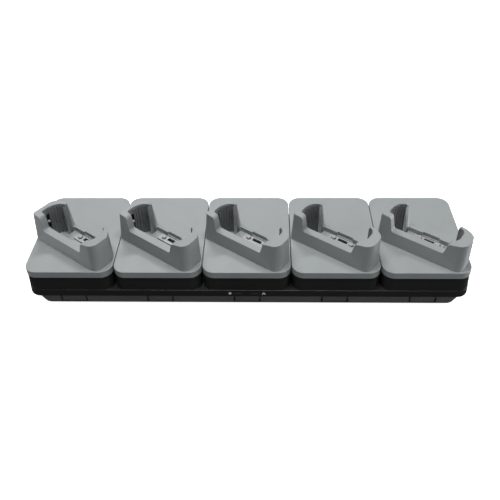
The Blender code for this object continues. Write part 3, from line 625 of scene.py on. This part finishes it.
def plate():
    """Square plate with a rolled upper edge, hollow from below."""
    edge = [
        (PLATE_EDGE * (math.sin(a) - 1), PLATE_EDGE * (1 - math.cos(a)))
        for a in (*quarter_turn(PLATE_EDGE_STEPS), math.pi / 2)
    ]
    levels = [(-PLATE_HEIGHT, 0), *edge]
    body = loft("cup_moulding", [[(x, y, z) for x, y in plate_outline(d)] for z, d in levels])
    hollow = prism("hollow", plate_outline(PLATE_SKIN), -PLATE_HEIGHT - MM, -PLATE_SKIN)
    return cut(body, hollow)


def roof_height(x):
    """Top of the towers at a place along the pocket."""
    if x < ROOF_MIDDLE_X:
        return LEFT_ROOF_Z + LEFT_ROOF_SLOPE * (x - LEFT_ROOF_X)
    return RIGHT_ROOF_Z + RIGHT_ROOF_SLOPE * (x - RIGHT_ROOF_X)


def outer_walls():
    """Walls round the pocket, drafted on all sides but the upright right end."""
    x0, x1, y0, y1 = WALL_BOX
    rings = []
    for z in (WALL_FOOT, WING_HEIGHT + 2 * MM):
        lean = z * WALL_DRAFT
        box = (x0 + lean, x1, y0 + lean, y1 - lean)
        rings.append([(x, y, z) for x, y in rounded_outline(box, WALL_CORNERS, bends=WALL_BENDS)])
    return loft("outer_walls", rings)


def deep_outline(margin=0.0):
    """Left end of the cavity, where the floor is deeper."""
    x0, _, y0, y1 = CAVITY_BOX
    sharp = (0.5 * MM, 0.5 * MM)
    corners = (CAVITY_CORNERS[0], sharp, sharp, CAVITY_CORNERS[3])
    return rounded_outline(*inset((x0, DEEP_END, y0, y1), corners, -margin))


def floor_pans():
    """Undersides of the pocket floor and of its deeper left end."""
    outline = rounded_outline(*inset(CAVITY_BOX, CAVITY_CORNERS, -FLOOR_PAN_MARGIN))
    return (
        prism("floor_pan", outline, *FLOOR_PAN_Z),
        prism("deep_pan", deep_outline(DEEP_PAN_MARGIN), *DEEP_PAN_Z),
    )


def roof_cutter():
    """Takes away everything above the towers' roof."""
    top = WING_HEIGHT + 24 * MM
    profile = [(x, roof_height(x)) for x in ROOF_ENDS] + [(ROOF_ENDS[-1], top), (ROOF_ENDS[0], top)]
    return slab_along_y("roof", profile, -60 * MM, 20 * MM)


def shoulder(x, radius, end):
    """Arc that leaves the left roof smoothly at x and turns down to an angle in degrees."""
    start = math.pi / 2 + math.atan(LEFT_ROOF_SLOPE)
    centre = (x - radius * math.cos(start), roof_height(x) - radius * math.sin(start))
    return arc(centre, radius, math.degrees(start), end)


def front_notch():
    """Opens the front wall between the two wings, with a fillet at each end."""
    x, radius = FRONT_LEFT_FILLET
    left_fillet = arc((x, FRONT_WALL_TOP + radius), radius, 180, 270)
    x, radius = FRONT_RIGHT_FILLET
    right_fillet = arc((x, FRONT_WALL_TOP + radius), radius, 270, 350)
    profile = [(FRONT_SHOULDER[0], CUTTER_TOP), *shoulder(*FRONT_SHOULDER)]
    profile += [*left_fillet, *right_fillet, *FRONT_RIGHT_SIDE]
    return slab_along_y("front_notch", profile, -45 * MM, -15 * MM)


def back_notch():
    """Opens the back wall between the wings down to a low rim."""
    profile = [(BACK_SHOULDER[0], CUTTER_TOP), *shoulder(*BACK_SHOULDER)]
    profile += [(NOTCH_X[0], BACK_WALL_TOP), (NOTCH_X[1], BACK_WALL_TOP), *BACK_RIGHT_SIDE]
    return slab_along_y("back_notch", profile, -6 * MM, 15 * MM)


def paint_tower_shade_and_lip_highlight(body):
    """Painted shade and highlight on the moulding: the right tower's inner faces take the liner's dark
    grey, for a liner there and for painted shade inside the tower; the lip's side takes the same grey as
    painted shade, and the lip's front a pale grey as a painted highlight.
    """
    _, x1, y0, y1 = CAVITY_BOX
    edge = 0.2 * MM
    tower_x0, tower_z0 = NOTCH_X[1] + 0.6 * MM, 1.5 * MM
    facing = 0.8
    for face in body.data.polygons:
        x, y, z = face.center
        in_tower = tower_x0 < x < x1 + edge and y0 - edge < y < y1 + edge and z > tower_z0
        on_lip = LIP[0] < x < LIP[1] + FIT_GAP and LIP[2] - edge < y < 0 and z > CAVITY_FLOOR
        # Dark grey on the right tower's inner faces: a liner there, and painted shade.
        if in_tower and abs(face.normal.z) < 0.3:
            face.material_index = 1
        # Lip: painted shade on its side, a painted highlight on its front.
        if on_lip and face.normal.x > facing:
            face.material_index = 1
        elif on_lip and face.normal.y < -facing:
            face.material_index = 2


def cup_moulding():
    """Plate, walls and towers of one cup in one piece."""
    body = plate()
    join(body, outer_walls(), *floor_pans())
    cavity_outline = rounded_outline(CAVITY_BOX, CAVITY_CORNERS)
    cavity = prism("cavity", cavity_outline, CAVITY_FLOOR, WING_HEIGHT + 5 * MM)
    deep_cavity = prism("deep_cavity", deep_outline(), DEEP_FLOOR, CAVITY_FLOOR + 2 * MM)
    cut(body, cavity, deep_cavity)
    join(body, block("lip", LIP, DEEP_FLOOR - 0.5 * MM, WING_HEIGHT))
    recess_x = (NOTCH_X[0] + BACK_RECESS_INSET, NOTCH_X[1] - BACK_RECESS_INSET)
    back_recess = block("back_recess", (*recess_x, *BACK_RECESS_Y), CAVITY_FLOOR, 9 * MM)
    rim_slot = block("rim_slot", RIM_SLOT_BOX, RIM_SLOT_FLOOR, 9 * MM)
    x0, x1, y0, y1 = CARRIER_BOX
    window_box = (x0 - FIT_GAP, x1 + FIT_GAP, y0 - FIT_GAP, y1 + FIT_GAP)
    window = block("window", window_box, -6 * MM, CAVITY_FLOOR + MM)
    cut(body, roof_cutter(), front_notch(), back_notch(), back_recess, rim_slot, window)
    seat = wall_strip("liner_seat", -0.5 * MM, LINER_THICKNESS + FIT_GAP, end_gap=FIT_GAP)
    cut(body, seat, latch_seat())
    paint(soften(body, EDGE_RADIUS), CUP_GREY, LINER_AND_SHADE_GREY, PAINTED_HIGHLIGHT_GREY)
    # Paints shade in the right tower and on the lip's side, and a highlight on the lip's front.
    paint_tower_shade_and_lip_highlight(body)
    return body


# ---------------------------------------------------------------- liner and latch

def cavity_path():
    """Dense points round the left end of the cavity, from the front wing to the back lip."""
    steps = 24
    outline = rounded_outline(CAVITY_BOX, CAVITY_CORNERS, steps)
    front_left = outline[:steps + 1]
    back_left = [point for point in outline[3 * (steps + 1):] if point[0] < LIP[0] - 0.4 * MM]
    front_end = (LINER_FRONT_END, CAVITY_BOX[2])
    return [Vector(point) for point in [front_end, *reversed(front_left), *reversed(back_left)]]


def path_lengths(path):
    """Distance along the path at each of its points."""
    lengths = [0.0]
    for a, b in zip(path, path[1:]):
        lengths.append(lengths[-1] + (b - a).length)
    return lengths


def point_and_normal(path, lengths, distance):
    """Point at a distance along the path, and the outward normal there."""
    for a, b, start, end in zip(path, path[1:], lengths, lengths[1:]):
        if distance <= end and end > start:
            along = (b - a).normalized()
            return a + along * (distance - start), Vector((-along.y, along.x))
    raise ValueError("distance lies beyond the path")


def rib_profile(distance, total):
    """Height of the ribs along the path: rounded ridges clear of the latch and the end."""
    number = round((distance - RIB_FIRST) / RIB_PITCH)
    middle = RIB_FIRST + number * RIB_PITCH
    if number < 0 or middle > total - 1.2 * MM:
        return 0.0
    across = abs(distance - middle) / (RIB_WIDTH / 2)
    return RIB_HEIGHT * math.sqrt(max(0.0, 1 - across * across))


def wall_strip(name, inner, outer, end_gap=0.0, ribbed=False):
    """Upright strip on the cavity's left end, between two offsets from its face.

    An end gap makes it the seat for the liner: longer, deeper and higher by a fit gap.
    """
    path = cavity_path()
    lengths = path_lengths(path)
    total = lengths[-1]
    count = 220 if ribbed else 40
    bottom = DEEP_FLOOR if end_gap else DEEP_FLOOR + FIT_GAP
    shape = bmesh.new()
    sections = []
    rises = []
    for number in range(count + 1):
        distance = min(total, total * number / count)
        point, normal = point_and_normal(path, lengths, distance)
        if number in (0, count):
            outwards = Vector((normal.y, -normal.x)) * (-1 if number == 0 else 1)
            point = point + outwards * end_gap
        rises.append(rib_profile(distance, total) if ribbed else 0.0)
        near = point + normal * (inner - rises[-1])
        far = point + normal * outer
        z1 = roof_height(point.x) - LINER_DROP + (FIT_GAP if end_gap else 0)
        corners = ((near, bottom), (near, z1), (far, z1), (far, bottom))
        sections.append([shape.verts.new((p.x, p.y, z)) for p, z in corners])
    for number, (a, b) in enumerate(zip(sections, sections[1:])):
        for i in range(4):
            j = (i + 1) % 4
            face = shape.faces.new((a[i], a[j], b[j], b[i]))
            # Faces on the rib tops get the second material: on the liner, a painted highlight.
            on_rib = max(rises[number], rises[number + 1]) > 0.5 * RIB_HEIGHT
            face.material_index = int(i == 0 and on_rib)
    shape.faces.new(list(reversed(sections[0])))
    shape.faces.new(sections[-1])
    bmesh.ops.recalc_face_normals(shape, faces=shape.faces)
    mesh = bpy.data.meshes.new(name)
    shape.to_mesh(mesh)
    shape.free()
    return new_object(name, mesh)


def ribbed_liner():
    """Liner whose rib tops carry a painted highlight, with a slot for the latch's knob."""
    body = paint(wall_strip("ribbed_liner", 0.0, LINER_THICKNESS, ribbed=True), LINER_AND_SHADE_GREY, PAINTED_HIGHLIGHT_GREY)
    width, z0, z1 = LATCH_SLOT
    slot_box = (LATCH_Y - width / 2, LATCH_Y + width / 2, z0, z1)
    outline = rounded_outline(slot_box, square_corners(1.2 * MM), 6)
    cut(body, slab_along_x("slot", outline, -30 * MM, -22 * MM))
    return soften(body, 0.18 * MM, 2, 50)


def latch_seat():
    """Room behind the liner for the leaf and its travel."""
    width, z0, z1 = LATCH_LEAF
    depth = LATCH_LEAF_THICKNESS + LATCH_TRAVEL + 0.2 * MM
    half = width / 2 + FIT_GAP
    box = (LATCH_PLANE - depth, LATCH_PLANE + MM, LATCH_Y - half, LATCH_Y + half)
    return block("latch_seat", box, z0 - FIT_GAP, z1 + FIT_GAP)


def latch_leaf():
    """Black leaf behind the liner with a pale domed knob, about the knob's root."""
    width, z0, z1 = LATCH_LEAF
    leaf_box = (-LATCH_LEAF_THICKNESS, 0, -width / 2, width / 2)
    body = block("latch_leaf", leaf_box, z0 - LATCH_KNOB_Z, z1 - LATCH_KNOB_Z)
    nose = CAVITY_BOX[0] + LATCH_REACH - LATCH_PLANE
    r = LATCH_KNOB_RADIUS
    dome = [(nose - r + r * math.sin(a), r * math.cos(a)) for a in quarter_turn(7)]
    stations = [(-0.4 * MM, r), *dome]
    rings = [[(x, y, z) for y, z in circle((0, 0), radius)] for x, radius in stations]
    join(body, loft("knob", rings))
    paint(soften(body, 0.12 * MM, 2, 40), LATCH_GREY, SOCKET_BLACK)
    for face in body.data.polygons:
        face.material_index = int(face.center.x < 0.1 * MM)
    return body


# ---------------------------------------------------------------- contacts

def contact_block():
    """Block with two domed pegs in shallow ring grooves and a slot for the contacts."""
    body = block("contact_block", CARRIER_BOX, CARRIER_BOTTOM, CARRIER_TOP)
    r = PEG_RADIUS
    width, depth = PEG_GROOVE
    groove = ((r + width, CARRIER_TOP - depth), (r + width, MM))
    grooves = [turned("groove", place, groove) for place in PEG_CENTRES]
    height = PEG_TOP - PEG_SHOULDER
    dome = [(r * math.cos(a), PEG_SHOULDER + height * math.sin(a)) for a in quarter_turn(8)]
    pegs = [turned("peg", place, [(r, CARRIER_TOP - MM), *dome]) for place in PEG_CENTRES]
    slot = prism("slot", rounded_outline(CONTACT_SLOT, square_corners(0.8 * MM), 6), -8 * MM, 3 * MM)
    cut(body, *grooves)
    join(body, *pegs)
    cut(body, slot)
    return paint(soften(body, 0.2 * MM, 2, 35), CARRIER_GREY)


def spring_contacts():
    """Gold plungers in collars on a black bar, about the middle of the slot."""
    half_x = (CONTACT_SLOT[1] - CONTACT_SLOT[0]) / 2 - FIT_GAP
    half_y = (CONTACT_SLOT[3] - CONTACT_SLOT[2]) / 2 - FIT_GAP
    outline = rounded_outline((-half_x, half_x, -half_y, half_y), square_corners(0.5 * MM), 6)
    bar = soften(prism("bar", outline, *PIN_BAR), 0.12 * MM, 2)
    r, top = PIN_RADIUS, PIN_BAR[1]
    collar, neck = 1.5 * r, 1.1 * r
    profile = [(collar, top - 0.2 * MM), (collar, top + 0.5 * MM), (neck, top + 0.6 * MM)]
    profile += [(r, top + 0.7 * MM)]
    profile += [(r * math.cos(a), PIN_TIP - r + r * math.sin(a)) for a in quarter_turn(6)]
    spacing = 2 * half_x / PIN_COUNT
    shape = bmesh.new()
    shape.from_mesh(bar.data)
    for i in range(PIN_COUNT):
        pin = turned("pin", ((i - (PIN_COUNT - 1) / 2) * spacing, 0), profile, 20)
        before = len(shape.faces)
        shape.from_mesh(pin.data)
        shape.faces.ensure_lookup_table()
        for face in shape.faces[before:]:
            face.material_index = 1
        bpy.data.objects.remove(pin)
    shape.to_mesh(bar.data)
    shape.free()
    bar.data.shade_smooth()
    bar.data.set_sharp_from_angle(angle=math.radians(40))
    return paint(bar, PIN_BLACK, GOLD)


# ---------------------------------------------------------------- base

def cover_ring(x0, x1, z, amount=0.0, left=True, right=True):
    """Ring of the cover at a height, drafted on its outer sides, moved in by an amount."""
    flare = (PAD_TOP_Z - z) * COVER_DRAFT
    half = PLATE_DEPTH / 2
    box = (x0 - flare * left, x1 + flare * right, -half - flare, half + flare)
    outline = rounded_outline(*inset(box, square_corners(PLATE_RADIUS), amount))
    return [(x, y, z) for x, y in outline]


def pad(index, amount, z0, z1):
    """One raised pad, or the hollow inside it."""
    ends = (CUP_X[index] - PLATE_WIDTH / 2, CUP_X[index] + PLATE_WIDTH / 2)
    sides = {"left": index == 0, "right": index == CUP_COUNT - 1}
    return loft("pad", [cover_ring(*ends, z, amount, **sides) for z in (z0, z1)])


def band(amount, z0, z1):
    """The strip of the base under all the pads, or the hollow inside it."""
    return loft("band", [cover_ring(-ROW_HALF, ROW_HALF, z, amount) for z in (z0, z1)])


def rear_openings(z0):
    """Cutters round the sockets in the back of the base."""
    cutters = []
    for node in SOCKET_NODES:
        low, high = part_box(node)
        box = (low.x - SOCKET_GAP, high.x + SOCKET_GAP, *SOCKET_Y)
        cutters.append(block("opening", box, z0, high.z + SOCKET_GAP))
    return cutters


def light_slots():
    """Cutters for the indicator bars in the front of the base."""
    slots = []
    for node in LIGHT_NODES:
        low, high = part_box(node)
        box = (low.x - FIT_GAP, high.x + FIT_GAP, -70 * MM, -50 * MM)
        bar_bottom = high.z - LIGHT_BAR_HEIGHT
        slots.append(block("light_slot", box, bar_bottom - FIT_GAP, high.z + FIT_GAP))
    return slots


def cover_moulding():
    """Black band with the five pads on it, hollow from below, as one piece."""
    body = band(0.0, SEAM_Z, LEDGE_Z)
    join(body, *[pad(i, PAD_STEP, LEDGE_Z - MM, PAD_TOP_Z) for i in range(CUP_COUNT)])
    inner = PAD_STEP + COVER_WALL
    hollows = [pad(i, inner, LEDGE_Z - COVER_WALL - MM, PAD_TOP_Z - COVER_WALL) for i in range(CUP_COUNT)]
    cut(body, band(COVER_WALL, SEAM_Z - 2 * MM, LEDGE_Z - COVER_WALL), *hollows)
    cut(body, *light_slots(), *rear_openings(SEAM_Z - MM))
    return paint(soften(body, 0.4 * MM), COVER_BLACK)


def tray_box(z=FOOT_PROUD):
    """Sides of the tray at a height: the ends lean out towards the seam."""
    rise = (z - FOOT_PROUD) / (SEAM_Z - FOOT_PROUD)
    end_inset = TRAY_INSET_END + (TRAY_INSET_SEAM - TRAY_INSET_END) * rise
    half_x = ROW_HALF - end_inset
    half_y = PLATE_DEPTH / 2 - TRAY_INSET_FRONT
    return (-half_x, half_x, -half_y, half_y)


def tray_outline(z, amount=0.0):
    return rounded_outline(*inset(tray_box(z), square_corners(TRAY_RADIUS), amount))


def tray_moulding():
    """Tray with a flange up into the cover, five release openings and seats for feet and screws."""
    rings = [[(x, y, z) for x, y in tray_outline(z)] for z in (FOOT_PROUD, TRAY_TOP_Z)]
    body = loft("tray_moulding", rings)
    flange_edge = COVER_WALL + FLANGE_CLEARANCE
    join(body, loft("flange", [
        cover_ring(-ROW_HALF, ROW_HALF, z, flange_edge) for z in (TRAY_TOP_Z - FLANGE_ROOT, FLANGE_TOP_Z)
    ]))
    floor_z = FOOT_PROUD + TRAY_FLOOR
    cut(body, prism("hollow", tray_outline(floor_z, TRAY_WALL), floor_z, FLANGE_TOP_Z + MM))
    front = tray_box()[2]
    half = RELEASE_WIDTH / 2 + RELEASE_SLIT
    opening_y = (front - MM, front + TRAY_WALL + RELEASE_OPENING_DEPTH)
    opening_z = (RELEASE_Z[0] - FIT_GAP, RELEASE_Z[1] + FIT_GAP)
    cutters = [block("release_opening", (x - half, x + half, *opening_y), *opening_z) for x in CUP_X]
    for node in FOOT_NODES + SCREW_NODES:
        low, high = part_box(node)
        centre = ((low.x + high.x) / 2, (low.y + high.y) / 2)
        radius = (high.x - low.x) / 2 + FIT_GAP
        top = FOOT_PROUD + (FOOT_SEAT if node in FOOT_NODES else SCREW_SEAT)
        cutters.append(turned("seat", centre, ((radius, 0), (radius, top))))
    cut(body, *cutters, *rear_openings(TRAY_SOCKET_Z))
    return paint(soften(body, 0.35 * MM), TRAY_GREY)


def release_panel(index):
    """Push-in panel with softly rounded edges, and the flange that holds it behind the wall."""
    low, high = RELEASE_BOXES[index]
    x = CUP_X[index]
    half = RELEASE_WIDTH / 2
    wall_back = tray_box()[2] + TRAY_WALL
    body = block(f"release_panel_{index + 1}", (x - half, x + half, low.y, wall_back + MM), *RELEASE_Z)
    flange_box = (low.x, high.x, wall_back + FIT_GAP, high.y)
    join(body, block("flange", flange_box, FOOT_PROUD + RELEASE_FLANGE_RISE, high.z))
    return paint(soften(body, 0.5 * MM), RELEASE_GREY)


def jack_contacts(number):
    """Sprung gold wires that slope through the jack's socket."""
    low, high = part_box(f"network_jack_{number}")
    middle = (low.x + high.x) / 2
    back_y, front_y = WIRE_Y
    bend_y = front_y - 0.8 * MM
    top = high.z - WIRE_TOP_GAP
    bottom = top - WIRE_DROP
    profile = [
        (back_y, top), (bend_y, bottom), (front_y, bottom + 0.3 * MM),
        (front_y, bottom + 0.6 * MM), (bend_y, bottom + 0.35 * MM), (back_y + 0.8 * MM, top),
    ]
    pieces = bmesh.new()
    for i in range(WIRE_COUNT):
        x = middle + (i - (WIRE_COUNT - 1) / 2) * WIRE_PITCH
        made = slab_along_x("wire", profile, x - WIRE_HALF, x + WIRE_HALF)
        pieces.from_mesh(made.data)
        bpy.data.objects.remove(made)
    mesh = bpy.data.meshes.new("jack_contacts")
    pieces.to_mesh(mesh)
    pieces.free()
    piece = paint(new_object(f"jack_contacts_{number}", mesh), GOLD)
    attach(piece, "base")


def front_face_y(z):
    """Y of the cover's front at a height."""
    return -PLATE_DEPTH / 2 - (PAD_TOP_Z - z) * COVER_DRAFT


def printed_marks():
    """A dot and a chevron printed beside the indicator bars."""
    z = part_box(LIGHT_NODES[0])[1].z - MARK_DROP
    y0, y1 = front_face_y(z) - MARK_PROUD, front_face_y(z) + MARK_DEPTH
    dot = slab_along_y("status_dot", circle((-MARK_X, z), DOT_RADIUS), y0, y1)
    outer, inner = CHEVRON_ARM, CHEVRON_ARM - CHEVRON_STROKE
    low, crotch, high = z + CHEVRON_LOW, z + CHEVRON_CROTCH, z + CHEVRON_HIGH
    chevron_profile = [
        (MARK_X - outer, low), (MARK_X - inner, low), (MARK_X, crotch),
        (MARK_X + inner, low), (MARK_X + outer, low), (MARK_X, high),
    ]
    chevron = slab_along_y("status_chevron", chevron_profile, y0, y1)
    for mark in (dot, chevron):
        paint(mark, INK)
        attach(mark, "base")


# ---------------------------------------------------------------- studio

def studio_material():
    """Pale floor that glows a little, so that it stays white."""
    made, tree, shader = blank_material("studio_floor")
    shade = ramp(tree, noise(tree, scale=3, detail=2), ((0.2, grey(0.93)), (0.8, grey(0.95))))
    tree.links.new(shade, shader.inputs["Base Color"])
    shader.inputs["Roughness"].default_value = 0.9
    shader.inputs["Emission Color"].default_value = (1, 1, 1, 1)
    shader.inputs["Emission Strength"].default_value = FLOOR_GLOW
    return made


def softbox(name, location, target, size, power):
    """Rectangular lamp that faces a point."""
    data = bpy.data.lights.new(name, "AREA")
    data.shape = "RECTANGLE"
    data.size, data.size_y = size
    data.energy = power
    lamp = new_object(name, data)
    lamp.location = location
    lamp.rotation_euler = (Vector(target) - Vector(location)).to_track_quat("-Z", "Y").to_euler()
    return lamp


def studio():
    """Floor, faint world light and the lamps."""
    shape = bmesh.new()
    bmesh.ops.create_grid(shape, x_segments=4, y_segments=4, size=FLOOR_HALF)
    mesh = bpy.data.meshes.new("studio_floor")
    shape.to_mesh(mesh)
    shape.free()
    floor = paint(new_object("studio_floor", mesh), studio_material())
    floor.visible_diffuse = False
    floor.visible_glossy = False
    world = bpy.data.worlds.new("studio_world")
    world.use_nodes = True
    background = world.node_tree.nodes["Background"]
    background.inputs["Color"].default_value = (*WORLD_COLOUR, 1)
    background.inputs["Strength"].default_value = WORLD_GLOW
    bpy.context.scene.world = world
    for lamp in LAMPS:
        softbox(*lamp)
    bounce = softbox(*BOUNCE)
    bounce.visible_camera = False
    bounce.visible_glossy = False
    bpy.context.scene.view_settings.view_transform = "Standard"


def camera():
    """Camera at its place, turned by yaw, then tilted down by pitch, then rolled."""
    yaw, pitch, roll = CAMERA_YAW, CAMERA_PITCH, CAMERA_ROLL
    reach = math.cos(pitch)
    forward = Vector((math.sin(yaw) * reach, math.cos(yaw) * reach, -math.sin(pitch)))
    level = Vector((math.cos(yaw), -math.sin(yaw), 0))
    upright = level.cross(forward)
    right = level * math.cos(roll) + upright * math.sin(roll)
    up = upright * math.cos(roll) - level * math.sin(roll)
    data = bpy.data.cameras.new("photo_camera")
    data.sensor_width = CAMERA_SENSOR
    data.lens = CAMERA_LENS
    data.shift_y = CAMERA_SHIFT_Y
    data.clip_start, data.clip_end = 0.01, 20
    seen_from = new_object("photo_camera", data)
    turn = Matrix((right, up, -forward)).transposed().to_4x4()
    seen_from.matrix_world = Matrix.Translation(CAMERA_PLACE) @ turn
    bpy.context.scene.camera = seen_from


# ---------------------------------------------------------------- assembly

def keep_cad_node(name, material):
    """Give a CAD node that stays its finished material."""
    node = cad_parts[name]
    if node.data.materials:
        node.material_slots[0].material = material
    else:
        node.data.materials.append(material)


def dress_cad_nodes():
    """Materials of the boards, cables, sockets, light bars, feet and screws."""
    keep_cad_node("main_board", BOARD)
    for number in range(1, CUP_COUNT + 1):
        keep_cad_node(f"cup_board_{number}", BOARD)
        keep_cad_node(f"cup_cable_{number}", RIBBON)
    for node in SOCKET_NODES:
        keep_cad_node(node, SOCKET_BLACK)
    for node in LIGHT_NODES:
        keep_cad_node(node, CLEAR)
    for node in FOOT_NODES:
        keep_cad_node(node, RUBBER)
    for node in SCREW_NODES:
        keep_cad_node(node, STEEL)


def build_cups():
    in_every_pocket(cup_moulding(), "cup_moulding", "cup_shell", "base")
    in_every_pocket(ribbed_liner(), "ribbed_liner", "tower_liner", "base")
    in_every_pocket(contact_block(), "contact_block", "contact_carrier", "base")
    in_every_pocket(
        spring_contacts(), "spring_contacts", "contact_pins", "contacts_{}", SLOT_CENTRE
    )
    knob_root = Vector((LATCH_PLANE, LATCH_Y, LATCH_KNOB_Z))
    in_every_pocket(latch_leaf(), "latch_leaf", "retention_latch", "latch_{}", knob_root)


def build_base():
    single(cover_moulding(), "base_top_cover")
    single(tray_moulding(), "base_bottom_tray")
    for index in range(CUP_COUNT):
        panel = release_panel(index)
        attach(panel, f"release_{index + 1}")
        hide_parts(f"cup_release_{index + 1}")
    for number in (1, 2):
        jack_contacts(number)
    printed_marks()


build_cups()
build_base()
dress_cad_nodes()
studio()
camera()
